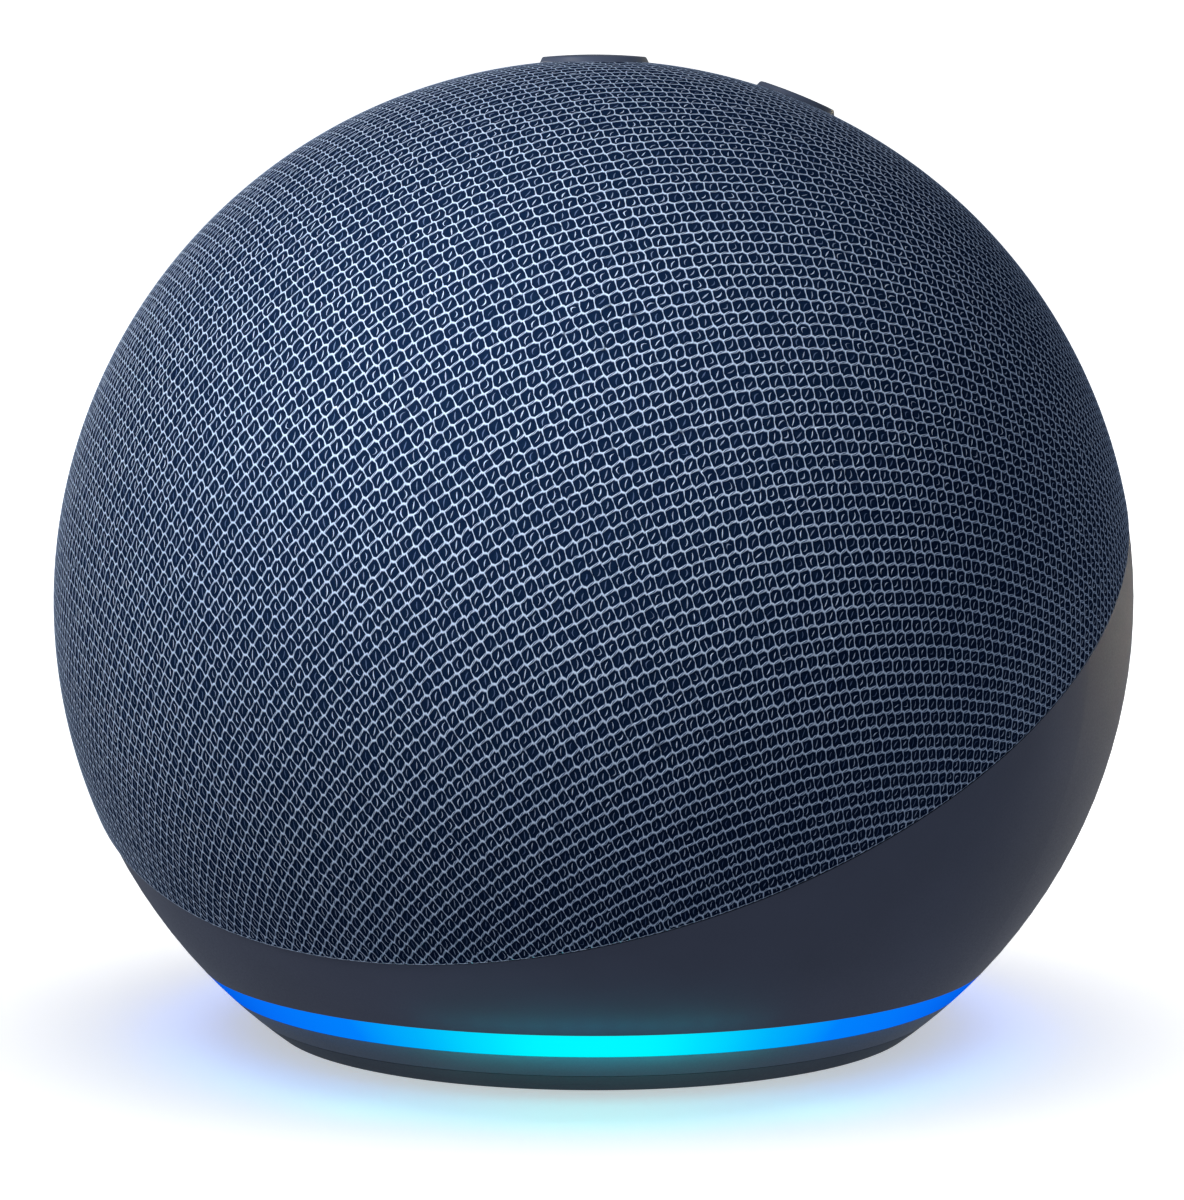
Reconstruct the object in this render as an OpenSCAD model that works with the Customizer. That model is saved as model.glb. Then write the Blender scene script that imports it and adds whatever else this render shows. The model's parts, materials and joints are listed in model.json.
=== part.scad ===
// Ball-shaped smart speaker: a fabric-covered front and top, a bare rear bowl, a light ring
// above a rubber foot, four buttons on top, and a forward-firing driver in a sealed chamber.
// Millimetres, +Z up, origin on the resting surface under the ball's centre, front towards -Y.

/* [Body] */
// Diameter of the ball over the fabric
body_d = 100; // [100:0.25:101]
// Height of the ball's centre above the resting surface
ball_z = 40; // [39.9:0.05:40.1]
// Thickness of the knitted fabric
fabric_t = 0.8; // [0.6:0.05:0.9]
// Wall of the perforated grille shell
grille_t = 2.35; // [2:0.05:2.4]
// Wall of the rear bowl
shell_t = 2.4; // [2.2:0.05:2.5]

/* [Seam] */
// Tilt of the seam plane, rising to the back, in degrees
seam_tilt = 30.5; // [30:0.25:31]
// Distance of the seam plane from the ball's centre
seam_offset = -1.9; // [-2:0.05:-1.8]
// Width of the open groove between fabric and bowl
seam_gap = 0.5; // [0.4:0.05:0.6]

/* [Light ring] */
// Depth of the ring's top edge below the ball's centre
ring_top_depth = 33.65; // [33.6:0.05:33.7]
// Height of the lit band
ring_h = 2.35; // [2.3:0.05:2.4]
// Number of side-firing light-emitting diodes
led_count = 12; // [8:2:16]

/* [Buttons] */
// Radius of the action and microphone buttons at their base
big_button_r = 5.0; // [4.8:0.05:5.1]
// Radius of the two volume buttons at their base
small_button_r = 3.9; // [3.6:0.05:4]
// How far the buttons stand out of the fabric
button_rise = 0.37; // [0.3:0.01:0.6]
// Gap between a button and its hole
button_gap = 0.12; // [0.1:0.01:0.15]

/* [Driver] */
// Upward tilt of the driver's axis from level, in degrees
driver_tilt = 15; // [14:0.5:16]
// Radius of the driver's mounting flange
driver_r = 24; // [23.8:0.1:24.1]
// Height of one sound hole's pitch in the grille
grille_pitch = 4.2; // [4:0.1:5]

/* [Power inlet] */
// Radius of the round recess that takes the plug's moulded grip
port_r = 5.25; // [5:0.05:5.3]
// Radius of the barrel socket's bore
socket_r = 2.1; // [2:0.05:2.2]
// Radius of the socket's centre pin
socket_pin_r = 0.825; // [0.8:0.025:0.85]

/* [Hidden] */
$fn = 128;

NAVY = [0.13, 0.17, 0.26];
DARK = [0.10, 0.11, 0.13];
WHITE = [0.88, 0.89, 0.90];
STEEL = [0.62, 0.63, 0.65];
COPPER = [0.72, 0.42, 0.25];
BOARD = [0.07, 0.25, 0.16];
GLOW = [0.05, 0.75, 0.98];

ball_r = body_d / 2;
far = 70;
skin = 0.05; // air left between curved faces that would otherwise touch
grille_ro = ball_r - fabric_t - skin;
grille_ri = grille_ro - grille_t;
shell_ri = ball_r - shell_t;

// Bottom stack, as heights relative to the ball's centre.
ring_top = -ring_top_depth;
ring_low = ring_top - ring_h;
base_top = ring_low - skin;
base_low = -38.25;
foot_low = -ball_z;
ring_ri = 32.4;
foot_ri = 24;
ledge_t = 1.6;
ledge_ri = 31.5;
frame_z = ring_top + ledge_t + skin;
frame_t = 1.5;
frame_top = frame_z + frame_t;
board_z = frame_top + 0.5;
board_t = 1.4;
board_top = board_z + board_t;
board_r = 31;

// Buttons: [sideways tilt, backward tilt, radius] about the middle of the button group.
group_tilt = 12.4;
ACTION = [0, -group_tilt, big_button_r];
MIC = [0, group_tilt, big_button_r];
side_tilt = 18.3;
VOL_UP = [side_tilt, 0, small_button_r];
VOL_DOWN = [-side_tilt, 0, small_button_r];
BUTTONS = [ACTION, MIC, VOL_UP, VOL_DOWN];
button_draft = 0.17;
button_edge = 0.1;
flange_w = 1;
flange_t = 0.8;
flange_ro = grille_ri - skin;
stem_r = 1.5;
stem_end = 45.0;
icon_depth = 0.18;
icon_w = 0.5;
plunger_r = 0.9;
switch_w = 4.5;
switch_base = 42.95;
switch_top = 44.5;
flex_ro = 42.9;
flex_t = 0.4;
carrier_ro = flex_ro - flex_t - skin;
carrier_t = 1.9;
carrier_r = 21;
carrier_screw_tilt = 16.5;
mic_tilts = [9.5, 9];

// Driver, as distances along its axis from the ball's centre.
baffle_low = 28;
baffle_top = 30;
baffle_r = 27.5;
gasket_t = 0.6;
flange_low = baffle_top + gasket_t;
flange_top = flange_low + 1.2;
basket_back = 20;
plate_top = 18.8;
plate_low = 16.8;
magnet_low = 8.8;
yoke_low = 5.8;
magnet_r = 22;
coil_r = 9.5;
coil_wall = 0.45;
cone_r = 16.1;
cone_low = 27;
screw_ring_r = 22.2;
chamber_r = 39.5;
chamber_wall = 2;
floor_z = -25;
rim_screw_r = 26.2;

// Power inlet.
port_z = -24;
port_floor = 35.5;
port_wall = 1.5;
jack_h = 2 * (port_z - board_top);
jack_w = 9;
jack_back = 22;
jack_nose_r = 3.1;
socket_depth = 9.5;
pin_root_r = 0.6;

led_board_z = ring_low + 0.4;
led_board_t = 1;
lead_y = -26.2;
lead_x = 1.4;
lead_r = 0.6;
post_r = 2.6;
mount_angles = [35, 145, 215, 325];
base_screw_r = 20;
frame_screw_r = 33.2;
board_screw_r = 28;
mount_ring_r = 25.5;

module in_ball() translate([0, 0, ball_z]) children();

module hollow_ball(ro, ri) difference() {
    sphere(r = ro);
    sphere(r = ri);
}

module above_seam(level)
    rotate([seam_tilt, 0, 0]) translate([-far, -far, level]) cube([2 * far, 2 * far, far]);

module below_seam(level)
    rotate([seam_tilt, 0, 0]) translate([-far, -far, level - 2 * far]) cube(2 * far);

module slab(low, high, r = far) translate([0, 0, low]) cylinder(r = r, h = high - low);

module tube(ro, ri, low, high) difference() {
    slab(low, high, ro);
    slab(low - 1, high + 1, ri);
}

module around(count, r, start = 0)
    for (i = [0 : count - 1]) rotate(start + i * 360 / count) translate([r, 0, 0]) children();

module button_frame(b) rotate([-group_tilt, 0, 0]) rotate([-b[1], b[0], 0]) children();

module driver_frame() rotate([90 - driver_tilt, 0, 0]) children();

module pan_screw(shaft_r, shaft_h, head_r, head_h) {
    slot_l = head_r * 1.2;
    slot_w = head_r * 0.28;
    translate([0, 0, -shaft_h]) cylinder(r = shaft_r, h = shaft_h);
    difference() {
        cylinder(r = head_r, h = head_h);
        for (a = [0, 90]) rotate(a)
            translate([-slot_l / 2, -slot_w / 2, head_h * 0.5]) cube([slot_l, slot_w, head_h]);
    }
}

// ---- Outer shells ----

module fabric_cover() color(NAVY) in_ball() difference() {
    intersection() {
        hollow_ball(ball_r, ball_r - fabric_t);
        above_seam(seam_offset + seam_gap / 2);
    }
    for (b = BUTTONS) button_frame(b) cylinder(r = b[2] + button_gap, h = far);
}

module sound_holes() {
    rows = 5;
    driver_frame()
        for (i = [-rows : rows], j = [-rows : rows])
            if (abs(i + j) <= rows)
                translate([(i + j / 2) * grille_pitch, j * grille_pitch * sin(60), 0])
                    cylinder(r = 1.3, h = far);
}

module carrier_boss_places()
    for (x = [-1, 1], y = [-1, 1])
        rotate([-group_tilt, 0, 0]) rotate([-y * carrier_screw_tilt, x * carrier_screw_tilt, 0]) children();

module grille_shell() color(DARK) in_ball() difference() {
    union() {
        intersection() {
            hollow_ball(grille_ro, grille_ri);
            above_seam(seam_offset + seam_gap / 2);
        }
        carrier_boss_places() translate([0, 0, carrier_ro + flex_t + 2 * skin])
            cylinder(r = 2, h = grille_ri + 1 - carrier_ro - flex_t);
    }
    for (b = BUTTONS) button_frame(b) cylinder(r = b[2] + button_gap, h = far);
    carrier_boss_places() cylinder(r = 0.75, h = grille_ri - 0.5);
    mic_places() cylinder(r = 0.5, h = far);
    sound_holes();
}

module joint_ring() color(DARK) in_ball() {
    band = 3;
    lip_ri = 44.5;
    intersection() {
        hollow_ball(grille_ri - skin, lip_ri);
        above_seam(seam_offset - 0.15);
        below_seam(seam_offset + band);
    }
    intersection() {
        hollow_ball(shell_ri - skin, lip_ri);
        above_seam(seam_offset - band);
        below_seam(seam_offset - 0.15);
    }
    intersection() {
        hollow_ball(ball_r - 0.7, grille_ri - 1);
        above_seam(seam_offset - 0.18);
        below_seam(seam_offset + 0.18);
    }
}

module port_frame() translate([0, 0, port_z]) rotate([-90, 0, 0]) children();

module rear_shell() color(NAVY) in_ball() difference() {
    union() {
        intersection() {
            hollow_ball(ball_r, shell_ri);
            below_seam(seam_offset - seam_gap / 2);
            slab(ring_top, far);
        }
        intersection() {
            tube(far, ledge_ri, ring_top, ring_top + ledge_t);
            sphere(r = ball_r - 1);
        }
        intersection() {
            port_frame() slab(port_floor - port_wall, far, port_r + port_wall);
            sphere(r = ball_r - 1);
        }
    }
    port_frame() {
        slab(port_floor, far, port_r);
        slab(port_floor - 2 * port_wall, far, jack_nose_r + 0.1);
    }
    around(4, frame_screw_r, 45) translate([0, 0, ring_top + 0.3]) cylinder(r = 0.95, h = ledge_t);
}

module light_ring() color(GLOW) in_ball() difference() {
    intersection() {
        sphere(r = ball_r);
        slab(ring_low, ring_top - skin);
    }
    slab(-far, far, ring_ri);
}

module reflector_ring() color(WHITE) in_ball() difference() {
    union() {
        tube(ledge_ri - 0.3, 25, ring_top + 0.1, ring_top + 0.7);
        tube(25.8, 25, ring_low + 1.5, ring_top + 0.2);
    }
    header_block(0.2);
}

module base_screw_places() around(4, base_screw_r, 45) children();

module base_cover() color(DARK) in_ball() {
    plate_t = 1.7;
    difference() {
        intersection() {
            sphere(r = ball_r);
            slab(base_low, base_top);
        }
        slab(base_low + plate_t, far, ring_ri - 0.4);
        base_screw_places() {
            slab(-far, far, 1.3);
            slab(-far, base_low + 0.9, 2.6);
        }
    }
    // standoffs under the ring's circuit board
    around(6, 28.6, 0) slab(base_low + plate_t - 0.1, led_board_z, 1.2);
}

module foot_pad() color(DARK) in_ball() difference() {
    intersection() {
        sphere(r = ball_r);
        slab(foot_low, base_low - skin);
    }
    slab(-far, far, foot_ri);
    // shallow grip groove around the underside
    tube(28, 27.2, -far, foot_low + 0.4);
}

// ---- Buttons and microphones ----

module icon_bar(l) translate([-l / 2, -icon_w / 2, ball_r + button_rise - icon_depth])
    cube([l, icon_w, 2]);

module icon_loop(r) difference() {
    slab(ball_r + button_rise - icon_depth, ball_r + 2, r);
    slab(-far, far, r - icon_w);
}

module dot_icon() icon_loop(1.5);

module plus_icon() for (a = [0, 90]) rotate(a) icon_bar(3.2);

module minus_icon() icon_bar(3.2);

module mute_icon() {
    icon_loop(1.9);
    rotate(45) icon_bar(3);
}

module button_block(b) {
    top_r = ball_r + button_rise;
    r_top = b[2] - button_draft;
    edge_z = top_r - r_top * r_top / top_r / 2 - button_edge;
    intersection() {
        sphere(r = top_r);
        rotate_extrude() polygon([
            [0, flange_ro - 1], [b[2], flange_ro - 1], [b[2], ball_r - 0.3],
            [r_top, edge_z], [r_top - 1, edge_z + 1], [0, edge_z + 1]
        ]);
    }
}

module button_cap(b) color(DARK) in_ball() button_frame(b) {
    difference() {
        button_block(b);
        children();
    }
    intersection() {
        hollow_ball(flange_ro, flange_ro - flange_t);
        cylinder(r = b[2] + flange_w, h = far);
    }
    slab(stem_end, flange_ro - 0.5, stem_r);
}

module button_plunger(b) color(WHITE) in_ball() button_frame(b)
    slab(switch_top - 0.8, stem_end, plunger_r);

module switch_bodies() color(DARK) in_ball() for (b = BUTTONS) button_frame(b) difference() {
    translate([-switch_w / 2, -switch_w / 2, switch_base])
        cube([switch_w, switch_w, switch_top - switch_base]);
    slab(switch_base + 0.3, far, plunger_r + 0.15);
}

module group_patch(ro, ri, r) intersection() {
    hollow_ball(ro, ri);
    rotate([-group_tilt, 0, 0]) cylinder(r = r, h = far);
}

module button_flex() color([0.75, 0.45, 0.12]) in_ball() difference() {
    union() {
        group_patch(flex_ro, flex_ro - flex_t, carrier_r - 1.5);
        intersection() {
            hollow_ball(flex_ro, flex_ro - flex_t);
            translate([ribbon_x, 15, 20]) cube([ribbon_w, 16, 25]);
        }
    }
    carrier_boss_places() cylinder(r = 1.2, h = far);
}

module button_carrier() color(DARK) in_ball() difference() {
    group_patch(carrier_ro, carrier_ro - carrier_t, carrier_r);
    carrier_boss_places() cylinder(r = 1.0, h = far);
    rotate([-group_tilt, 0, 0]) cylinder(r = 4, h = far);
}

module carrier_screws() color(STEEL) in_ball() carrier_boss_places()
    translate([0, 0, carrier_ro - carrier_t - 0.1]) rotate([180, 0, 0]) pan_screw(0.7, 4.4, 1.6, 0.8);

module mic_places()
    for (x = [-1, 1], y = [-1, 1])
        rotate([-group_tilt, 0, 0]) rotate([-y * mic_tilts[1], x * mic_tilts[0], 0]) children();

module microphones() color(STEEL) in_ball() mic_places() difference() {
    translate([-1.75, -1.3, flex_ro + 0.05]) cube([3.5, 2.6, 1]);
    slab(flex_ro + 0.6, far, 0.4);
}

module mic_gaskets() color(DARK) in_ball() mic_places() tube(1.6, 0.5, flex_ro + 1.1, grille_ri - 0.1);

// ---- Driver ----

module driver_basket() color(STEEL) in_ball() driver_frame() {
    rim = 20.2;
    hub = 14;
    wall = 1;
    deep = flange_low - basket_back;
    difference() {
        union() {
            slab(flange_low, flange_top, driver_r);
            translate([0, 0, basket_back]) cylinder(r1 = hub, r2 = rim, h = deep + 0.01);
            slab(plate_top, basket_back + 0.01, hub);
        }
        slab(flange_low - 0.01, far, rim - 1.2);
        translate([0, 0, basket_back]) cylinder(r1 = hub - wall, r2 = rim - wall - 0.2, h = deep);
        slab(-far, far, coil_r + 1.1);
        for (i = [0 : 5]) rotate(30 + i * 60)
            translate([8, -3.6, basket_back + 1.5]) cube([14, 7.2, 6]);
        around(4, screw_ring_r, 45) slab(-far, far, 0.95);
    }
}

module roll_profile(centre_r, roll_r, t) difference() {
    translate([centre_r, 0]) circle(r = roll_r);
    translate([centre_r, 0]) circle(r = roll_r - t);
    translate([0, -far]) square(far);
}

module driver_surround() color(DARK) in_ball() driver_frame() translate([0, 0, flange_top]) {
    centre_r = 18;
    roll_r = 1.7;
    rotate_extrude() roll_profile(centre_r, roll_r, 0.4);
    tube(driver_r - 3.5, centre_r + roll_r - 0.05, 0, 0.4);
    tube(centre_r - roll_r + 0.05, cone_r - 0.9, 0, 0.4);
}

module driver_cone() color(DARK) in_ball() driver_frame() difference() {
    t = 0.5;
    low = coil_r + 0.1;
    deep = flange_top - skin - cone_low;
    translate([0, 0, cone_low]) cylinder(r1 = low + t, r2 = cone_r, h = deep);
    translate([0, 0, cone_low]) cylinder(r1 = low, r2 = cone_r - t, h = deep + 0.01);
}

module dust_cap() color(DARK) in_ball() driver_frame() {
    cap_r = coil_r + 0.7;
    dome_r = 14;
    drop = sqrt(dome_r * dome_r - cap_r * cap_r);
    translate([0, 0, cone_low + 0.65 - drop]) intersection() {
        hollow_ball(dome_r, dome_r - 0.5);
        slab(drop, far);
    }
}

module voice_coil() color(COPPER) in_ball() driver_frame() {
    tube(coil_r, coil_r - coil_wall, plate_low - 1.2, cone_low + 0.6);
    tube(coil_r + 0.4, coil_r - 0.1, plate_low - 1.2, plate_low + 2.6);
}

module driver_spider() color([0.80, 0.62, 0.30]) in_ball() driver_frame() {
    z = 24.2;
    steps = 24;
    step_w = 0.23;
    wave = 0.35;
    spider_t = 0.35;
    rotate_extrude() polygon(concat(
        [for (i = [0 : steps]) [coil_r + 0.2 + i * step_w, z + wave * sin(i * 60)]],
        [for (i = [steps : -1 : 0]) [coil_r + 0.2 + i * step_w, z + wave * sin(i * 60) + spider_t]]
    ));
}

module top_plate() color(STEEL) in_ball() driver_frame()
    tube(magnet_r - 1, coil_r + 0.9, plate_low, plate_top);

module ring_magnet() color(DARK) in_ball() driver_frame() tube(magnet_r, 11.5, magnet_low, plate_low);

module pole_yoke() color(STEEL) in_ball() driver_frame() {
    slab(yoke_low, magnet_low, magnet_r - 0.5);
    slab(yoke_low, plate_top, coil_r - coil_wall - 0.4);
}

module driver_gasket() color(DARK) in_ball() driver_frame() difference() {
    tube(driver_r, 20.6, baffle_top, flange_low);
    around(4, screw_ring_r, 45) slab(-far, far, 0.95);
}

module driver_screws() color(STEEL) in_ball() driver_frame()
    around(4, screw_ring_r, 45) translate([0, 0, flange_top]) pan_screw(0.85, 3.4, 1.6, 0.9);

module driver_terminals() color(COPPER) in_ball() driver_frame()
    for (x = [-1, 1]) translate([x * lead_x - 0.9, -20, 20.3]) cube([1.8, 5.6, 0.6]);

// ---- Sealed chamber ----

module speaker_baffle() color(DARK) in_ball() driver_frame() difference() {
    slab(baffle_low, baffle_top, baffle_r);
    slab(-far, far, 20.5);
    around(4, screw_ring_r, 45) slab(baffle_low + 0.2, far, 0.9);
    around(4, rim_screw_r, 0) {
        slab(-far, far, 0.8);
        slab(baffle_top - 1.1, far, 1.7);
    }
}

module chamber_solid(r, front, floor_level, grow) difference() {
    intersection() {
        sphere(r = r);
        driver_frame() slab(-far, front);
        slab(floor_level, far);
    }
    // pocket over the power jack
    translate([-8 - grow, 19 - grow, -far]) cube([16 + 2 * grow, far, far - 16 + grow]);
}

module enclosure_bowl() color(DARK) in_ball() difference() {
    union() {
        difference() {
            chamber_solid(chamber_r, baffle_low - skin, floor_z, 0);
            chamber_solid(chamber_r - chamber_wall, far, floor_z + chamber_wall, chamber_wall);
        }
        intersection() {
            sphere(r = chamber_r - 0.5);
            driver_frame() around(4, rim_screw_r, 0) slab(22, baffle_low - skin, 2);
        }
    }
    driver_frame() around(4, rim_screw_r, 0) slab(23.3, far, 0.75);
    translate([0, lead_y, 0]) slab(-far, floor_z + chamber_wall + 1, 2.6);
}

module enclosure_screws() color(STEEL) in_ball() driver_frame()
    around(4, rim_screw_r, 0) translate([0, 0, baffle_top - 1.1]) pan_screw(0.7, 5, 1.6, 0.9);

module baffle_foam() color([0.25, 0.25, 0.27]) in_ball() intersection() {
    driver_frame() tube(27.3, 24.8, baffle_top + skin, far);
    sphere(r = grille_ri - skin);
}

module isolation_mounts() color(DARK) in_ball()
    for (a = mount_angles) rotate(a) translate([mount_ring_r, 0, 0])
        tube(2.4, 0.9, floor_z - 1.3, floor_z - skin);

module lead_grommet() color(DARK) in_ball() translate([0, lead_y, 0]) difference() {
    union() {
        slab(floor_z - 0.02, floor_z + chamber_wall, 2.55);
        slab(floor_z + chamber_wall, floor_z + chamber_wall + 0.8, 3.2);
    }
    for (x = [-1, 1]) translate([x * lead_x, 0, 0]) slab(-far, far, lead_r + 0.02);
}

module speaker_leads() color([0.55, 0.08, 0.08]) in_ball()
    for (x = [-1, 1]) translate([x * lead_x, lead_y, 0]) slab(board_top + 2.2, -13.2, lead_r);

module lead_connector() color(WHITE) in_ball()
    translate([-3.2, lead_y - 1.6, board_top]) cube([6.4, 3.2, 2.2]);

// ---- Electronics ----

module board_screw_places() around(3, board_screw_r, 0) children();

module main_board() color(BOARD) in_ball() difference() {
    slab(board_z, board_top, board_r);
    board_screw_places() slab(-far, far, 1.05);
    for (a = mount_angles) rotate(a) translate([mount_ring_r, 0, 0]) slab(-far, far, post_r + 0.3);
}

module board_parts() color([0.16, 0.16, 0.17]) in_ball() {
    // each chip as [x, y, width, depth, height]
    chips = [
        [-20, -8, 6, 6, 1.1], [-19, 3, 4, 5, 1], [12, -18, 7, 5, 1.4],
        [19, 0, 5, 4, 1], [-13, -18, 4, 4, 1.8]
    ];
    for (c = chips) translate([c[0] - c[2] / 2, c[1] - c[3] / 2, board_top]) cube([c[2], c[3], c[4]]);
    for (y = [15.5, 20.5]) translate([-10, y, board_top]) cylinder(r = 2, h = 2.8);
}

module shield_can() color(STEEL) in_ball() difference() {
    translate([-8, -8, board_top]) cube([16, 16, 1.6]);
    translate([-7.6, -7.6, board_top - 1]) cube([15.2, 15.2, 2.3]);
}

module thermal_pad() color([0.55, 0.62, 0.72]) in_ball()
    translate([-6, -6, board_top + 1.6]) cube([12, 12, 0.5]);

module heat_spreader() color([0.80, 0.81, 0.83]) in_ball() translate([0, 0, board_top + 2.1])
    linear_extrude(0.9) difference() {
        union() {
            square([22, 24], center = true);
            square([28, 18], center = true);
            for (x = [-11, 11], y = [-9, 9]) translate([x, y]) circle(r = 3);
        }
        for (x = [-11, 11], y = [-9, 9]) translate([x, y]) circle(r = 1.2);
    }

module power_jack() color(DARK) in_ball() difference() {
    union() {
        translate([-jack_w / 2, jack_back, board_top])
            cube([jack_w, port_floor - port_wall - 0.1 - jack_back, jack_h]);
        port_frame() slab(jack_back + 5, port_floor, jack_nose_r);
    }
    port_frame() slab(port_floor - socket_depth, far, socket_r);
    port_frame() slab(jack_back + 1, far, pin_root_r);
}

module jack_pin() color(STEEL) in_ball() port_frame() {
    slab(jack_back + 1, port_floor - socket_depth + 0.01, pin_root_r);
    slab(port_floor - socket_depth, port_floor - 1.2, socket_pin_r);
}

// Ribbon route as [Y, Z] points: down the chamber's back, then in over the main board.
ribbon_t = 0.3;
ribbon_x = 8.5;
ribbon_w = 7;
ribbon_start = 47;
ribbon_r = 40.8;
RIBBON = concat(
    [for (p = [[47, 42.95], [50, 42.5], [53, 41.8], [56, 41.2]]) p[1] * [sin(p[0]), cos(p[0])]],
    [for (a = [60 : 4 : 116]) ribbon_r * [sin(a), cos(a)]],
    [[34.6, -21], [32.8, -23.6], [30.8, -25.4], [28.6, -26.3], [26.4, -26.5], [24, -26.5]]
);

function side(path, i) = let (
    d = path[min(i + 1, len(path) - 1)] - path[max(i - 1, 0)]
) [-d[1], d[0]] / norm(d);

module ribbon_cable() color([0.85, 0.83, 0.76]) in_ball() {
    half = ribbon_t / 2;
    last = len(RIBBON) - 1;
    translate([ribbon_x, 0, 0]) rotate([90, 0, 90]) linear_extrude(ribbon_w) polygon(concat(
        [for (i = [0 : last]) RIBBON[i] + half * side(RIBBON, i)],
        [for (i = [last : -1 : 0]) RIBBON[i] - half * side(RIBBON, i)]
    ));
}

module ribbon_connectors() color(WHITE) in_ball() {
    translate([ribbon_x - 1, 20, board_top]) cube([ribbon_w + 2, 4 - skin, 2.4]);
    rotate([-ribbon_start, 0, 0]) translate([ribbon_x - 1, -4 - skin, 42.4]) cube([ribbon_w + 2, 4, 1.2]);
}

module wifi_antennas() color([0.75, 0.60, 0.30]) in_ball() intersection() {
    hollow_ball(chamber_r + 0.5, chamber_r + skin);
    for (x = [-1, 1]) translate([x * far / 2, 2, 3]) cube([far, 20, 14], center = true);
}

module led_board() color(WHITE) in_ball() difference() {
    tube(31.2, 26.2, led_board_z, led_board_z + led_board_t);
    around(4, 26.5, 0) slab(-far, far, 0.6);
}

module ring_leds() color([0.95, 0.93, 0.75]) in_ball() around(led_count, 30.1, 15)
    translate([-0.7, -1.5, led_board_z + led_board_t]) cube([1.4, 3, 0.9]);

module header_block(gap) {
    low = led_board_z + led_board_t;
    translate([-3 - gap, -28.4 - gap, low]) cube([6 + 2 * gap, 1.8 + 2 * gap, board_z - low]);
}

module led_header() color(DARK) in_ball() header_block(0);

// ---- Chassis and fasteners ----

module chassis_frame() color(DARK) in_ball() difference() {
    union() {
        tube(35, 17, frame_z, frame_top);
        base_screw_places() slab(base_low + 1.75, frame_top, 3.2);
        board_screw_places() slab(frame_z, board_z, post_r);
        for (a = mount_angles) rotate(a) translate([mount_ring_r, 0, 0])
            slab(frame_z, floor_z - 1.3, post_r);
    }
    base_screw_places() slab(-far, frame_top - 0.6, 1.0);
    board_screw_places() slab(frame_z + 0.2, far, 0.85);
    around(4, frame_screw_r, 45) slab(-far, far, 1.1);
    port_frame() slab(port_floor - port_wall - 1, far, port_r + port_wall + 0.2);
    header_block(0.2);
}

module frame_screws() color(STEEL) in_ball()
    around(4, frame_screw_r, 45) translate([0, 0, frame_top]) pan_screw(0.9, frame_t + 1.2, 1.7, 0.9);

module board_screws() color(STEEL) in_ball()
    board_screw_places() translate([0, 0, board_top]) pan_screw(0.8, board_t + 1.6, 1.7, 0.9);

module base_screws() color(STEEL) in_ball()
    base_screw_places() translate([0, 0, base_low + 0.9]) rotate([180, 0, 0]) pan_screw(0.95, 5, 2.3, 0.8);

fabric_cover();
grille_shell();
joint_ring();
rear_shell();
light_ring();
reflector_ring();
base_cover();
foot_pad();
button_cap(ACTION) dot_icon();  // action_button
button_cap(VOL_UP) plus_icon();  // volume_up_button
button_cap(VOL_DOWN) minus_icon();  // volume_down_button
button_cap(MIC) mute_icon();  // mic_button
button_plunger(ACTION);  // action_plunger
button_plunger(VOL_UP);  // volume_up_plunger
button_plunger(VOL_DOWN);  // volume_down_plunger
button_plunger(MIC);  // mic_plunger
switch_bodies();
button_flex();
button_carrier();
carrier_screws();
microphones();
mic_gaskets();
driver_basket();
driver_surround();
driver_cone();
dust_cap();
voice_coil();
driver_spider();
top_plate();
ring_magnet();
pole_yoke();
driver_gasket();
driver_screws();
driver_terminals();
speaker_baffle();
enclosure_bowl();
enclosure_screws();
baffle_foam();
isolation_mounts();
lead_grommet();
speaker_leads();
lead_connector();
main_board();
board_parts();
shield_can();
thermal_pad();
heat_spreader();
power_jack();
jack_pin();
ribbon_cable();
ribbon_connectors();
wifi_antennas();
led_board();
ring_leds();
led_header();
chassis_frame();
frame_screws();
board_screws();
base_screws();
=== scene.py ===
"""Looks of the ball-shaped smart speaker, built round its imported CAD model.

Metres, Z up, front towards -Y. Heights of the knit are measured from its crests.
"""

import json
import math

import bpy
import numpy as np
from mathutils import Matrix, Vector

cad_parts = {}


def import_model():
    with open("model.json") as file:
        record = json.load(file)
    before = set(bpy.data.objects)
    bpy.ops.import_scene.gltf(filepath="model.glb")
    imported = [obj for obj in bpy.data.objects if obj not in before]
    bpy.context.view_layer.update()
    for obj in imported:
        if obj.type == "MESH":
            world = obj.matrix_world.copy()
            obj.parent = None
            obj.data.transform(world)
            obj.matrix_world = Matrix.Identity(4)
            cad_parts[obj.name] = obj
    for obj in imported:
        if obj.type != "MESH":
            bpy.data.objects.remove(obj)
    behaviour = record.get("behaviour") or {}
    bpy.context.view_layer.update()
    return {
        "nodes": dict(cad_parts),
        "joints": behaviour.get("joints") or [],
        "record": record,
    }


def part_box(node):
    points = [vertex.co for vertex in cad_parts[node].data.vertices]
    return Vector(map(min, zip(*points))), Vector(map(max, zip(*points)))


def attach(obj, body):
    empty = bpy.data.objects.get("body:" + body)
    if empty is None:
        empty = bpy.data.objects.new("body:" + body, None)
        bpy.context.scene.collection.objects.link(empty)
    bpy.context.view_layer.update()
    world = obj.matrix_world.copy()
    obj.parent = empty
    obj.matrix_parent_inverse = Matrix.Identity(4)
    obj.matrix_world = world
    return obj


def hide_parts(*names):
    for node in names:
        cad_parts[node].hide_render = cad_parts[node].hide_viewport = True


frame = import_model()
NODES = frame["nodes"]
MM = 0.001

# ---- Sizes read from the frame ----

cover_low, cover_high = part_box("fabric_cover")
BALL_R = (cover_high.x - cover_low.x) / 2
CENTRE = np.array([0.0, 0.0, cover_high.z - BALL_R])
FLOOR_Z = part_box("foot_pad")[0].z
RING_LOW, RING_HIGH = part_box("light_ring")

# ---- Where the object is seen from ----

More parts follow.
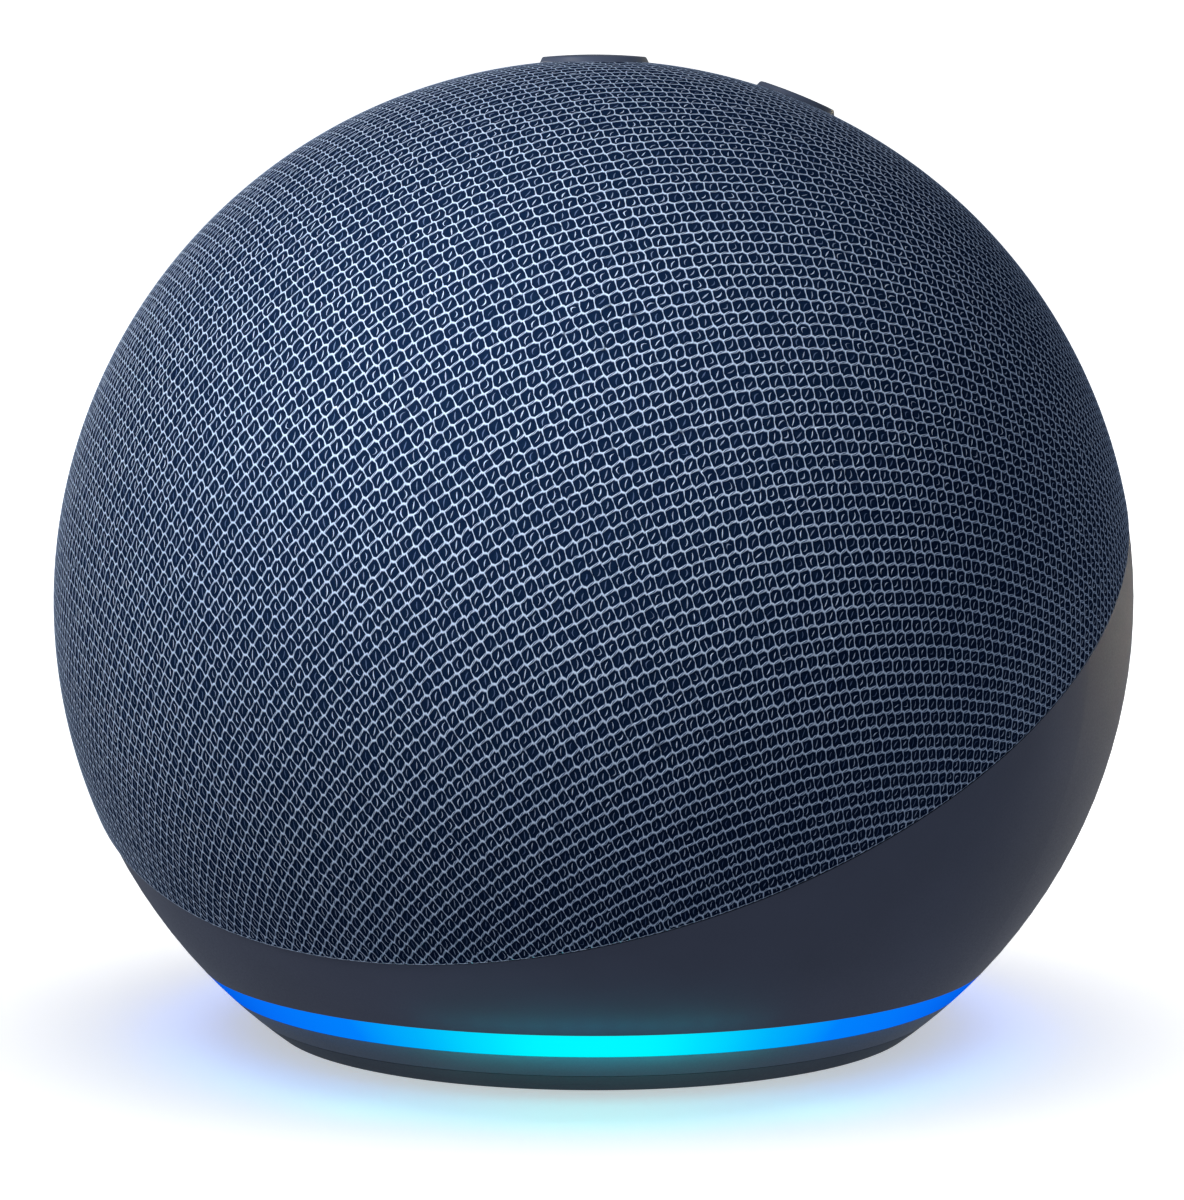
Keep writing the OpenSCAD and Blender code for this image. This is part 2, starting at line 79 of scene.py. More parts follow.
VIEW_AZIMUTH = math.radians(29.4)
VIEW_HEIGHT = math.radians(6.45)
VIEW_DISTANCE = 0.400
LENS = 128.43  # focal length for a sensor 36 mm wide
SENSOR = 36
SHIFT = (-0.00194, 0.0005)
FRONT = Vector((math.sin(VIEW_AZIMUTH), -math.cos(VIEW_AZIMUTH), 0))  # where the cyan arc faces
RIGHT = Vector((math.cos(VIEW_AZIMUTH), math.sin(VIEW_AZIMUTH), 0))

# ---- The knit, as a flat sheet drawn over the dome ----

SEAM_TILT = math.radians(30.5)
SEAM_EDGE = -1.6 * MM  # the cover's edge, along the seam plane's normal
WALE = 1.664 * MM  # distance between cells along a row
COURSE = 0.973 * MM  # distance between rows
NECK = 0.17 * MM  # half of the short wall between two cells of a row
CORNER_JITTER = 0.054 * MM
EDGE_SLIVER = 0.12 * MM  # cells that reach less than this onto the cover are left off
DRAW_IN = 0.014  # how much the sheet is drawn in towards the seam
FABRIC_R = BALL_R + 0.15 * MM  # crests of the knit stand a little proud of the shell
YARN_TOP = 0.0
YARN_SIDE = -0.018 * MM
YARN_FOOT = -0.060 * MM
TWIN_GROOVE = -0.02 * MM  # between the two strands of a thick wall
SIDE_PLACE = 0.58  # where the yarn's side lies between its crest, 0, and its foot, 1
HALF_WIDTHS = {"thick": 0.178, "thin": 0.110, "knot": 0.146}  # of the yarn, in mm
CELL_ROUNDING = 0.5  # 0 leaves a cell's opening a hexagon, 1 makes it round
LEAST_OPENING = 0.35  # share of a cell that stays open at least
GROUND_EDGE = -0.055 * MM
GROUND_PIT = -0.09 * MM
HEM_PROFILE = (  # (mm from the edge, mm above the crests): up from under the knit and down the edge
    (0.34, -0.24), (0.24, -0.06), (0.14, 0.0), (0.04, -0.05), (0.0, -0.16), (0.0, -0.93),
)
HOLE_GAP = 0.1 * MM  # between a button and the knit
BUTTON_TIP = 0.5 * MM  # how deep below the ball's surface a button is measured for its hole
SIDES = 12  # points round one cell
UV_SPAN = 0.495  # the sheet's radius on the UV map

dome_axis = np.array([0.0, -math.sin(SEAM_TILT), math.cos(SEAM_TILT)])
east = np.array([1.0, 0.0, 0.0])
north = np.cross(dome_axis, east)
row_dir = north
course_dir = -east
SEAM_ANGLE = math.acos(SEAM_EDGE / BALL_R)
SHEET_R = BALL_R * SEAM_ANGLE * (1 + DRAW_IN * SEAM_ANGLE**2)


def button_holes():
    """(direction, half-angle) of each button's hole, from where the CAD button stands."""
    holes = []
    for name, body in (
        ("action_button", "action_key"),
        ("volume_up_button", "volume_up_key"),
        ("volume_down_button", "volume_down_key"),
        ("mic_button", "mic_key"),
    ):
        joint = next(j for j in frame["joints"] if j["child"] == body)
        out = -np.array(joint["axis"], float)
        points = np.array([v.co for v in NODES[name].data.vertices], float) - CENTRE
        along = points @ out
        side = np.linalg.norm(points - along[:, None] * out, axis=1)
        radius = side[along > BALL_R - BUTTON_TIP].max()
        holes.append((out, math.asin((radius + HOLE_GAP) / BALL_R)))
    return holes


HOLES = button_holes()


def on_dome(flat):
    """Unit directions of points of the flat sheet, once it is drawn over the dome."""
    reach = np.linalg.norm(flat, axis=-1)
    angle = np.minimum(reach, SHEET_R) / BALL_R
    angle /= 1 + DRAW_IN * (angle / (1 + DRAW_IN * angle**2)) ** 2
    safe = np.where(reach > 0, reach, 1)
    side = (flat[..., :1] * row_dir + flat[..., 1:] * course_dir) / safe[..., None]
    return np.cos(angle)[..., None] * dome_axis + np.sin(angle)[..., None] * side


def out_of_holes(rays):
    """Moves directions that fall inside a button's hole to its edge."""
    for out, half in HOLES:
        dot = rays @ out
        side = rays - dot[..., None] * out
        length = np.linalg.norm(side, axis=-1)
        side /= np.where(length > 1e-9, length, 1)[..., None]
        inside = dot > math.cos(half)
        rim = math.cos(half) * out + math.sin(half) * side
        rays = np.where(inside[..., None], rim, rays)
    return rays


def lift(rays, height):
    """Points on the dome, at heights above or below the knit's crests."""
    return CENTRE + rays * (FABRIC_R + height)[..., None]


def new_mesh(name, points, faces, attributes=None, flat=None):
    """A smooth mesh object from arrays.

    flat gives each point's place on the sheet, for an unbroken UV map.
    """
    mesh = bpy.data.meshes.new(name)
    count, sides = faces.shape
    mesh.vertices.add(len(points))
    mesh.vertices.foreach_set("co", points.astype(np.float32).ravel())
    mesh.loops.add(count * sides)
    mesh.loops.foreach_set("vertex_index", faces.astype(np.int32).ravel())
    mesh.polygons.add(count)
    mesh.polygons.foreach_set("loop_start", np.arange(0, count * sides, sides, dtype=np.int32))
    mesh.update(calc_edges=True)
    mesh.polygons.foreach_set("use_smooth", np.ones(count, bool))
    for key, values in (attributes or {}).items():
        layer = mesh.attributes.new(key, "FLOAT", "POINT")
        layer.data.foreach_set("value", values.astype(np.float32))
    if flat is not None:
        layer = mesh.uv_layers.new(name="OFBake")
        uv = 0.5 + UV_SPAN * flat[faces.ravel()] / SHEET_R
        layer.data.foreach_set("uv", uv.astype(np.float32).ravel())
    mesh.validate()
    obj = bpy.data.objects.new(name, mesh)
    bpy.context.scene.collection.objects.link(obj)
    return obj


class Sheet:
    """Cells of the knit: staggered rows of hexagons that share their corners and edge midpoints.

    Every cell owns five of those points, one of each kind, and borrows the rest.
    """

    TOP, BOTTOM, RIGHT_WALL, RIGHT_SLANT, LEFT_SLANT = range(5)

    def __init__(self):
        rng = np.random.default_rng(7)
        rows = 2 * int(SHEET_R / COURSE) + 5
        cols = 2 * int(SHEET_R / WALE) + 5
        j, i = np.mgrid[0:rows, 0:cols]
        odd = j % 2
        self.x = (i - cols // 2 + 0.5 * odd) * WALE
        self.y = (j - rows // 2) * COURSE
        self.index = j * cols + i
        self.count = rows * cols
        self.flat = self.corners(rng)
        inner = (slice(1, -1), slice(1, -1))  # the outermost cells have no one to borrow from
        self.ring = self.outline(odd == 1)[inner].reshape(-1, SIDES)
        self.mid_flat = np.stack([self.x, self.y], -1)[inner].reshape(-1, 2)
        self.keep()

    def corners(self, rng):
        """The points that the cells own, kind by kind, each moved a little off its place."""
        half = COURSE / 2
        peak = half - NECK  # how far a cell's top stands above the middles of its slanted walls
        tops = np.stack([self.x, self.y + half + peak], -1)
        bottoms = np.stack([self.x, self.y - half - peak], -1)
        right = np.stack([self.x + WALE / 2, self.y], -1)
        up_right = np.stack([self.x + WALE / 4, self.y + half], -1)
        up_left = np.stack([self.x - WALE / 4, self.y + half], -1)
        flat = np.stack([tops, bottoms, right, up_right, up_left]).reshape(-1, 2)
        return flat + rng.normal(0, CORNER_JITTER, flat.shape)

    def outline(self, odd):
        """Each cell's twelve outline points, anticlockwise from its upper right corner."""
        at = self.index
        left, up, down = np.roll(at, 1, 1), np.roll(at, -1, 0), np.roll(at, 1, 0)
        # odd rows stand half a cell to the right of the others, and so do their neighbours
        up_r, up_l = np.where(odd, np.roll(up, -1, 1), up), np.where(odd, up, np.roll(up, 1, 1))
        down_r = np.where(odd, np.roll(down, -1, 1), down)
        down_l = np.where(odd, down, np.roll(down, 1, 1))
        kinds = (self.TOP, self.BOTTOM, self.RIGHT_WALL, self.RIGHT_SLANT, self.LEFT_SLANT)
        top, bottom, right, slant_r, slant_l = (kind * self.count for kind in kinds)
        return np.stack(
            [
                bottom + up_r, slant_r + at, top + at,
                slant_l + at, bottom + up_l, right + left,
                top + down_l, slant_r + down_l, bottom + at,
                slant_l + down_r, top + down_r, right + at,
            ],
            -1,
        )

    def keep(self):
        """Leaves the cells that lie on the cover: inside the seam and clear of the button holes."""
        reach = np.linalg.norm(self.flat[self.ring], axis=2)
        inside = reach.min(1) < SHEET_R - EDGE_SLIVER
        rays = on_dome(self.flat[self.ring])
        for out, half in HOLES:
            inside &= (rays @ out).min(1) < math.cos(half + EDGE_SLIVER / BALL_R)
        self.ring = self.ring[inside]
        self.mid_flat = self.mid_flat[inside]
        used, inverse = np.unique(self.ring, return_inverse=True)
        self.ring = inverse.reshape(self.ring.shape)
        self.flat = self.flat[used]
        self.twin = used // self.count == self.RIGHT_SLANT  # middles of the thick walls
        self.rays = out_of_holes(on_dome(self.flat))


def yarn_half_width(sheet):
    """Half the yarn's width at each outline point: thick one way across the knit, else thin."""
    rng = np.random.default_rng(5)
    thick, thin, knot = (HALF_WIDTHS[kind] for kind in ("thick", "thin", "knot"))
    pattern = np.array([thick, thick, knot, thin, thin, thin, thin, thick, knot, thin, thin, thick])
    swing, cell_spread, point_spread = 0.010, 0.008, 0.006  # mm
    along, across = sheet.mid_flat[:, 0] / (7 * MM), sheet.mid_flat[:, 1] / (9 * MM)
    wave = swing * np.sin(along) * np.cos(across)
    own = rng.normal(0, cell_spread, (len(sheet.ring), 1)) + wave[:, None]
    return MM * (pattern[None] + own + rng.normal(0, point_spread, (len(sheet.ring), SIDES)))


def knit_web(sheet):
    """The raised yarn: a half-round ridge round every cell."""
    outer = sheet.rays[sheet.ring]
    middle = outer.mean(1, keepdims=True)
    spoke = outer - middle
    length = np.linalg.norm(spoke, axis=2, keepdims=True)
    mean = length.mean(1, keepdims=True)
    rounded = (1 - CELL_ROUNDING) * length + CELL_ROUNDING * mean
    width = yarn_half_width(sheet)[:, :, None] / BALL_R
    foot_reach = np.maximum(rounded - width, LEAST_OPENING * rounded)
    side_reach = length + SIDE_PLACE * (foot_reach - length)
    cells = len(sheet.ring)
    count = cells * SIDES
    corner = sheet.flat[sheet.ring]
    mid = sheet.mid_flat[:, None]
    rings, flats = [], []
    twin = sheet.twin[sheet.ring].astype(float).ravel()
    rows = ((side_reach, YARN_SIDE * (1 - twin)), (foot_reach, np.full(count, YARN_FOOT)))
    for reach, height in rows:
        ring = middle + spoke / length * reach
        ring /= np.linalg.norm(ring, axis=2, keepdims=True)
        rings.append(lift(ring.reshape(-1, 3), height))
        flats.append((mid + (corner - mid) * (reach / length)).reshape(-1, 2))
    tops = lift(sheet.rays, np.where(sheet.twin, TWIN_GROOVE, YARN_TOP))
    side = len(tops) + np.arange(count).reshape(cells, SIDES)
    foot = side + count
    faces = [
        np.stack([a, np.roll(a, -1, 1), np.roll(b, -1, 1), b], -1).reshape(-1, 4)
        for a, b in ((sheet.ring, side), (side, foot))
    ]
    # rise carries painted shade: it darkens the yarn towards its foot, where it meets the ground,
    # and in the groove between two strands
    crest_rise, groove_rise, side_rise, strand_rise = 1.0, 0.35, 0.60, 0.88
    crest = np.where(sheet.twin, groove_rise, crest_rise)
    sides = side_rise + (strand_rise - side_rise) * twin
    rise = np.concatenate([crest, sides, np.zeros(count)])
    return new_mesh(
        "knit_web", np.concatenate([tops, *rings]), np.concatenate(faces),
        {"rise": rise}, np.concatenate([sheet.flat, *flats]),
    )


def knit_ground(sheet):
    """The darker ground behind the yarn, dished in every cell."""
    corners = sheet.ring[:, ::2]
    cells = len(corners)
    middle = sheet.rays[corners].mean(1)
    middle /= np.linalg.norm(middle, axis=1, keepdims=True)
    edge = lift(sheet.rays, np.full(len(sheet.rays), GROUND_EDGE))
    pit = lift(middle, np.full(cells, GROUND_PIT))
    hub = np.repeat(len(sheet.rays) + np.arange(cells)[:, None], corners.shape[1], 1)
    faces = np.stack([corners, np.roll(corners, -1, 1), hub], -1).reshape(-1, 3)
    depth = np.concatenate([np.zeros(len(edge)), np.ones(cells)])
    return new_mesh(
        "knit_ground", np.concatenate([edge, pit]), faces,
        {"depth": depth}, np.concatenate([sheet.flat, sheet.mid_flat]),
    )


def knit_floats(sheet):
    """A short loose stitch along the row that shows in the middle of every cell."""
    rng = np.random.default_rng(11)
    cells = len(sheet.ring)
    heading = rng.normal(math.radians(4), 0.20, cells)
    reach = rng.uniform(0.34, 0.50, cells) * MM  # half of its length
    bow = rng.normal(0, 0.07, cells) * MM
    half = rng.uniform(0.040, 0.060, cells) * MM  # half of its width
    along = np.stack([np.cos(heading), np.sin(heading)], -1)
    across = np.stack([-along[:, 1], along[:, 0]], -1)
    centre = sheet.mid_flat + rng.normal(0, 0.04 * MM, (cells, 2))
    steps, sides = (-1, -0.5, 0, 0.5, 1), (-1, 0, 1)
    top, end_drop, side_drop = -0.03 * MM, 0.04 * MM, 0.03 * MM
    middle_fullness, end_taper = 1.15, 0.75
    flats, heights = [], []
    for step in steps:
        bend = bow * (1 - 2 * step * step)
        fullness = middle_fullness - end_taper * abs(step)
        for side in sides:
            off = bend + side * half * fullness
            flats.append(centre + along * (step * reach)[:, None] + across * off[:, None])
            height = top - end_drop * step * step - side_drop * abs(side)
            heights.append(np.full(cells, height))
    flat = np.stack(flats, 1).reshape(-1, 2)
    height = np.stack(heights, 1).ravel()
    row, count = len(sides), len(steps) * len(sides)
    base = count * np.arange(cells)[:, None]
    firsts = [k for k in range(count - row) if k % row < row - 1]
    quads = np.array([[k, k + row, k + row + 1, k + 1] for k in firsts])
    faces = (base[:, :, None] + quads[None]).reshape(-1, 4)
    points = lift(out_of_holes(on_dome(flat)), height)
    tone = np.repeat(rng.uniform(0, 1, cells), count)
    return new_mesh("knit_floats", points, faces, {"tone": tone}, flat)


def hem_loop(rays_at, count, profile):
    """A closed band: rays_at(angles, inset) gives directions, profile lists (inset, height)."""
    angles = np.linspace(0, 2 * math.pi, count, endpoint=False)
    rows = [lift(rays_at(angles, inset), np.full(count, height)) for inset, height in profile]
    at = np.arange(count)
    nxt = np.roll(at, -1)
    starts = count * np.arange(len(profile) - 1)
    faces = [np.stack([k + at, k + nxt, k + count + nxt, k + count + at], -1) for k in starts]
    return np.concatenate(rows), np.concatenate(faces)


def circle_rays(axis, half):
    """For hem_loop: directions round an axis, at half an opening angle plus an inset."""
    first = np.cross(axis, east if abs(axis[0]) < 0.9 else north)
    first /= np.linalg.norm(first)
    second = np.cross(axis, first)

    def rays(angles, inset):
        open_by = half + inset / BALL_R
        ring = np.cos(angles)[:, None] * first + np.sin(angles)[:, None] * second
        return math.cos(open_by) * axis + math.sin(open_by) * ring

    return rays


def knit_hem():
    """Where the cover turns in: round each button hole and along the seam."""
    points, faces, start = [], [], 0
    hole_points, seam_points = 160, 720
    loops = [(out, half, hole_points, 1) for out, half in HOLES]
    loops.append((dome_axis, SEAM_ANGLE, seam_points, -1))
    for axis, half, count, sense in loops:
        profile = [(sense * inset * MM, height * MM) for inset, height in HEM_PROFILE]
        loop, quads = hem_loop(circle_rays(axis, half), count, profile)
        points.append(loop)
        faces.append((quads if sense > 0 else quads[:, ::-1]) + start)
        start += len(loop)
    return new_mesh("knit_hem", np.concatenate(points), np.concatenate(faces))


# ---- Materials ----


class Nodes:
    """Short calls for building one material's node tree."""

    def __init__(self, name):
        self.material = bpy.data.materials.new(name)
        self.material.use_nodes = True
        self.tree = self.material.node_tree
        self.shader = self.tree.nodes["Principled BSDF"]

    def plug(self, socket, value):
        """Links another node's output to a socket, or sets the socket's own value."""
        if hasattr(value, "is_linked"):
            self.tree.links.new(value, socket)
        elif socket.type == "RGBA":
            socket.default_value = (*value, 1)
        else:
            socket.default_value = value

    def add(self, kind, **inputs):
        """A node with its inputs filled; an underscore stands for a space in their names."""
        node = self.tree.nodes.new("ShaderNode" + kind)
        for key, value in inputs.items():
            self.plug(node.inputs[key.replace("_", " ")], value)
        return node

    def coords(self):
        return self.add("TexCoord").outputs["Object"]

    def noise(self, scale, detail=3.0, rough=0.5, stretch=None):
        where = self.coords()
        if stretch:
            where = self.add("Mapping", Vector=where, Scale=stretch).outputs["Vector"]
        noise = self.add("TexNoise", Vector=where, Scale=scale, Detail=detail, Roughness=rough)
        return noise.outputs["Fac"]

    def ramp(self, fac, *stops):
        """A colour ramp of (place, colour) stops; a colour may be one grey level."""
        node = self.add("ValToRGB", Fac=fac)
        band = node.color_ramp
        while len(band.elements) < len(stops):
            band.elements.new(0.5)
        for element, (place, colour) in zip(band.elements, stops, strict=True):
            element.position = place
            element.color = (*(colour if isinstance(colour, tuple) else (colour,) * 3), 1)
        return node.outputs["Color"]

    def math(self, operation, *values, kind="Math", output=0):
        """A math or vector math node, whose inputs are filled in order."""
        node = self.tree.nodes.new("ShaderNode" + kind)
        node.operation = operation
        for socket, value in zip(node.inputs, values, strict=False):
            self.plug(socket, value)
        return node.outputs[output]

    def attribute(self, name):
        node = self.tree.nodes.new("ShaderNodeAttribute")
        node.attribute_name = name
        return node.outputs["Fac"]

    def mix(self, fac, a, b, blend="MIX"):
        node = self.tree.nodes.new("ShaderNodeMix")
        node.data_type = "RGBA"
        node.blend_type = blend
        # the node's float, vector and colour sockets share their names, so these go by number
        for number, value in ((0, fac), (6, a), (7, b)):
            self.plug(node.inputs[number], value)
        return node.outputs[2]

    def bump(self, height, strength, distance):
        node = self.add("Bump", Height=height, Strength=strength, Distance=distance)
        return node.outputs["Normal"]

    def set(self, **sockets):
        """Fills the shader's sockets and gives back the finished material."""
        for key, value in sockets.items():
            self.plug(self.shader.inputs[key.replace("_", " ")], value)
        return self.material


def moulded(name, colour, rough, grain, depth, spread):
    """Moulded plastic or rubber: fine spark-eroded grain with a slight mottle."""
    n = Nodes(name)
    swing = 0.06  # of the roughness
    mottle = n.noise(60, 4)
    dark = tuple(c * (1 - spread) for c in colour)
    light = tuple(min(1, c * (1 + spread)) for c in colour)
    fine = n.noise(grain * 2.5, 2, 0.6)
    return n.set(
        Base_Color=n.ramp(mottle, (0.3, dark), (0.7, light)),
        Roughness=n.ramp(fine, (0.35, max(0, rough - swing)), (0.65, min(1, rough + swing))),
        Normal=n.bump(n.noise(grain, 3, 0.6), 0.35, depth * MM),
    )


def brushed(name, colour, rough):
    """Plain metal with fine rolling lines and faint stains."""
    n = Nodes(name)
    lines = n.noise(600, 2, 0.5, (1, 1, 14))
    stain = n.noise(90, 4)
    dark = tuple(c * 0.82 for c in colour)
    return n.set(
        Base_Color=n.ramp(stain, (0.3, dark), (0.65, colour)),
        Metallic=1.0,
        Roughness=n.ramp(lines, (0.3, rough - 0.08), (0.7, rough + 0.1)),
        Normal=n.bump(lines, 0.15, 0.01 * MM),
    )


def woven(name, colour, spacing):
    """A woven cloth, its bands 2 pi spacings apart."""
    n = Nodes(name)
    phase_rate = 20  # radians per unit of a wave texture at scale 1
    waves = []
    for direction in ("X", "Z"):
        wave = n.add("TexWave", Vector=n.coords(), Scale=1 / spacing / phase_rate, Distortion=0.4)
        wave.bands_direction = direction
        waves.append(wave.outputs["Fac"])
    weave = n.math("MULTIPLY", waves[0], waves[1])
    dark = tuple(c * 0.5 for c in colour)
    return n.set(
        Base_Color=n.ramp(weave, (0.0, dark), (0.6, colour)),
        Roughness=0.85,
        Normal=n.bump(weave, 0.5, 0.05 * MM),
    )


def yarn_material():
    """Pale slate-blue yarn, with painted shade at its foot and in the groove between its strands,
    and fuzzy along its crest.
    """
    n = Nodes("knit_yarn")
    fibre = n.noise(5200, 3, 0.65)
    patch = n.noise(45, 3)
    crest = n.ramp(patch, (0.3, (0.61, 0.73, 0.92)), (0.7, (0.69, 0.81, 0.99)))
    fuzz = n.mix(n.ramp(fibre, (0.25, 0.55), (0.6, 1.0)), (0.06, 0.10, 0.22), crest)
    # painted shade: the yarn is darkened from its crest down to its foot, and in the groove between
    # two strands
    shade = n.ramp(
        n.attribute("rise"), (0.10, (0.008, 0.018, 0.050)), (0.50, (0.10, 0.15, 0.24)), (0.80, 1.0)
    )
    return n.set(
        Base_Color=n.mix(1.0, fuzz, shade, "MULTIPLY"),
        Roughness=n.ramp(fibre, (0.3, 0.7), (0.7, 0.9)),
        Specular_IOR_Level=0.15,
        Specular_Tint=(0.65, 0.80, 1.0),
        Normal=n.bump(fibre, 0.5, 0.03 * MM),
    )


def ground_material():
    """Deep blue yarn behind the cells, with painted shade next to the raised yarn."""
    n = Nodes("knit_ground_yarn")
    fibre = n.noise(4200, 3, 0.6)
    # painted shade: darker at the edge of each cell, next to the raised yarn, than in the middle of
    # its dish
    wall_shaded_blue = n.ramp(n.attribute("depth"), (0.1, (0.003, 0.011, 0.036)), (0.9, (0.005, 0.016, 0.047)))
    return n.set(
        Base_Color=n.mix(n.ramp(fibre, (0.45, 0.0), (0.8, 0.35)), wall_shaded_blue, (0.012, 0.032, 0.085)),
        Roughness=0.9,
        Specular_IOR_Level=0.03,
        Normal=n.bump(fibre, 0.4, 0.04 * MM),
    )


def float_material():
    """Yarn of the loose stitches, from slate to pale, one tone for each stitch."""
    n = Nodes("knit_float_yarn")
    fibre = n.noise(3000, 3, 0.6)
    shade = n.ramp(n.attribute("tone"), (0.1, (0.10, 0.15, 0.28)), (0.85, (0.62, 0.72, 0.92)))
    return n.set(
        Base_Color=shade,
        Roughness=n.ramp(fibre, (0.3, 0.7), (0.7, 0.9)),
        Specular_IOR_Level=0.15,
        Normal=n.bump(fibre, 0.4, 0.03 * MM),
    )


RING_COLOURS = (  # from the back of the ring, 0, to the middle of the cyan arc, 1
    (0.00, (0.000, 0.040, 0.480)),
    (0.60, (0.000, 0.075, 0.700)),
    (0.80, (0.001, 0.160, 0.930)),
    (0.905, (0.000, 0.216, 0.975)),
    (0.953, (0.000, 0.440, 0.960)),
    (0.965, (0.000, 0.530, 0.965)),
    (0.985, (0.000, 0.740, 0.970)),
    (0.995, (0.000, 0.900, 0.970)),
    (1.00, (0.000, 0.930, 0.975)),
)


def ring_colour(angle):
    """The ring's colour at an angle from the middle of its cyan arc."""
    place = (math.cos(angle) + 1) / 2
    places, colours = zip(*RING_COLOURS, strict=True)
    return tuple(float(np.interp(place, places, channel)) for channel in zip(*colours, strict=True))


def ring_material():
    """The lit diffuser, cyan towards the voice it answers and blue round the rest."""
    n = Nodes("light_guide_lit")
    flat = n.math("MULTIPLY", n.coords(), (1, 1, 0), kind="VectorMath")
    unit = n.math("NORMALIZE", flat, kind="VectorMath")
    cosine = n.math("DOT_PRODUCT", unit, FRONT, kind="VectorMath", output="Value")
    return n.set(
        Base_Color=(0.0005, 0.010, 0.020),
        Roughness=0.5,
        Specular_IOR_Level=0.0,
        Emission_Color=n.ramp(n.math("MULTIPLY_ADD", cosine, 0.5, 0.5), *RING_COLOURS),
        Emission_Strength=1.0,
    )


# slot: (material, colour, roughness, grains per metre, grain's depth in mm, mottle)
MOULDED = {
    "shell_plastic": ("shell_plastic_fine", (0.083, 0.095, 0.150), 0.46, 2200, 0.012, 0.12),
    "base_plastic": ("base_plastic_fine", (0.098, 0.118, 0.160), 0.48, 2200, 0.012, 0.12),
    "black_plastic": ("black_plastic_fine", (0.006, 0.006, 0.008), 0.55, 900, 0.02, 0.12),
    "white_plastic": ("white_plastic_fine", (0.70, 0.71, 0.72), 0.5, 900, 0.02, 0.04),
    "button_plastic": ("button_plastic_fine", (0.075, 0.095, 0.150), 0.42, 2600, 0.010, 0.12),
    "foot_rubber": ("foot_rubber_fine", (0.075, 0.090, 0.110), 0.7, 1600, 0.02, 0.12),
    "black_rubber": ("black_rubber_fine", (0.010, 0.010, 0.011), 0.8, 1400, 0.03, 0.12),
    "foam": ("foam_cells", (0.020, 0.020, 0.023), 0.95, 700, 0.2, 0.12),
    "lead_wire": ("lead_insulation", (0.20, 0.010, 0.010), 0.4, 900, 0.02, 0.12),
    "chip_plastic": ("chip_epoxy", (0.012, 0.012, 0.013), 0.6, 900, 0.02, 0.12),
    "circuit_board": ("board_mask", (0.006, 0.060, 0.028), 0.35, 500, 0.01, 0.25),
    "white_board": ("white_mask", (0.68, 0.69, 0.69), 0.4, 500, 0.01, 0.05),
    "thermal_rubber": ("thermal_pad_rubber", (0.22, 0.28, 0.42), 0.8, 900, 0.02, 0.12),
    "flex_film": ("flex_polyimide", (0.36, 0.16, 0.018), 0.3, 400, 0.01, 0.2),
    "antenna_film": ("antenna_foil", (0.34, 0.22, 0.06), 0.3, 400, 0.01, 0.2),
    "led_lens": ("diode_lens", (0.85, 0.80, 0.45), 0.2, 500, 0.005, 0.05),
    "cone_paper": ("cone_pulp", (0.012, 0.012, 0.013), 0.85, 500, 0.08, 0.3),
    "ferrite": ("ferrite_sinter", (0.022, 0.022, 0.024), 0.65, 800, 0.04, 0.25),
}
# slot: (material, colour, roughness)
METALS = {
    "steel": ("steel_plate", (0.56, 0.57, 0.58), 0.32),
    "copper": ("copper_wire", (0.62, 0.26, 0.12), 0.28),
    "contact_brass": ("contact_nickel", (0.66, 0.62, 0.50), 0.22),
    "aluminium_plate": ("aluminium_rolled", (0.80, 0.81, 0.83), 0.38),
}


def dress_nodes():
    """Gives every CAD node the material of its slot; the cover's own node is replaced instead."""
    materials = {slot: moulded(*look) for slot, look in MOULDED.items()}
    materials["spider_cloth"] = woven("spider_weave", (0.50, 0.30, 0.07), 0.35 * MM)
    materials |= {slot: brushed(*look) for slot, look in METALS.items()}
    materials["light_guide"] = ring_material()
    slots = {s["node"]: s["material_slot"] for s in frame["record"]["subparts"]}
    for name, node in NODES.items():
        if slots[name] in materials:
            node.data.materials.clear()
            node.data.materials.append(materials[slots[name]])


# ---- Stage, lights and camera ----


def floor_material():
    """Pale paint with painted light: it shines by itself, dimmer near the ball, which deepens the
    shadow there, and brighter further out.
    """
    n = Nodes("floor_painted_light")
    reach = n.math("LENGTH", n.coords(), kind="VectorMath", output="Value")
    return n.set(
        Base_Color=(0.80, 0.80, 0.80),
        Roughness=0.8,
        Specular_IOR_Level=0.0,
        # painted light: the floor's own glow grows with the distance from the ball, leaving painted
        # shadow round it
        Emission_Color=n.ramp(reach, (0.07, 0.48), (0.30, 0.72), (0.55, 1.0)),
        Emission_Strength=1.0,
    )


def stage():
    """A pale floor that sweeps up into a backdrop all round, seen but throwing no light back."""
    flat_r, sweep_r, wall_top, steps = 2.4, 1.0, 4.0, 12
    outline = [(0.0, 0.0), (flat_r, 0.0)]
    for k in range(1, steps + 1):
        turn = k * math.pi / 2 / steps
        outline.append((flat_r + sweep_r * math.sin(turn), sweep_r * (1 - math.cos(turn))))
    outline.append((flat_r + sweep_r, wall_top))
    count = 96
    points, faces = [(0, 0, FLOOR_Z)], []
    for r, z in outline[1:]:
        for k in range(count):
            turn = 2 * math.pi * k / count
            points.append((r * math.cos(turn), r * math.sin(turn), FLOOR_Z + z))
    faces += [(0, 1 + k, 1 + (k + 1) % count) for k in range(count)]
    for row in range(len(outline) - 2):
        a, b = 1 + row * count, 1 + (row + 1) * count
        faces += [(a + k, b + k, b + (k + 1) % count, a + (k + 1) % count) for k in range(count)]
    mesh = bpy.data.meshes.new("floor")
    mesh.from_pydata(points, [], faces)
    mesh.polygons.foreach_set("use_smooth", [True] * len(faces))
    floor = bpy.data.objects.new("floor", mesh)
    floor.visible_diffuse = False
    floor.visible_glossy = False
    bpy.context.scene.collection.objects.link(floor)
    floor.data.materials.append(floor_material())
    return floor


def light_set(name, state, objects):
    """Objects that some lights are kept to (INCLUDE) or kept off (EXCLUDE)."""
    made = bpy.data.collections.new(name)
    for obj in objects:
        made.objects.link(obj)
    for linked in made.collection_objects:
        linked.light_linking.link_state = state
    return made


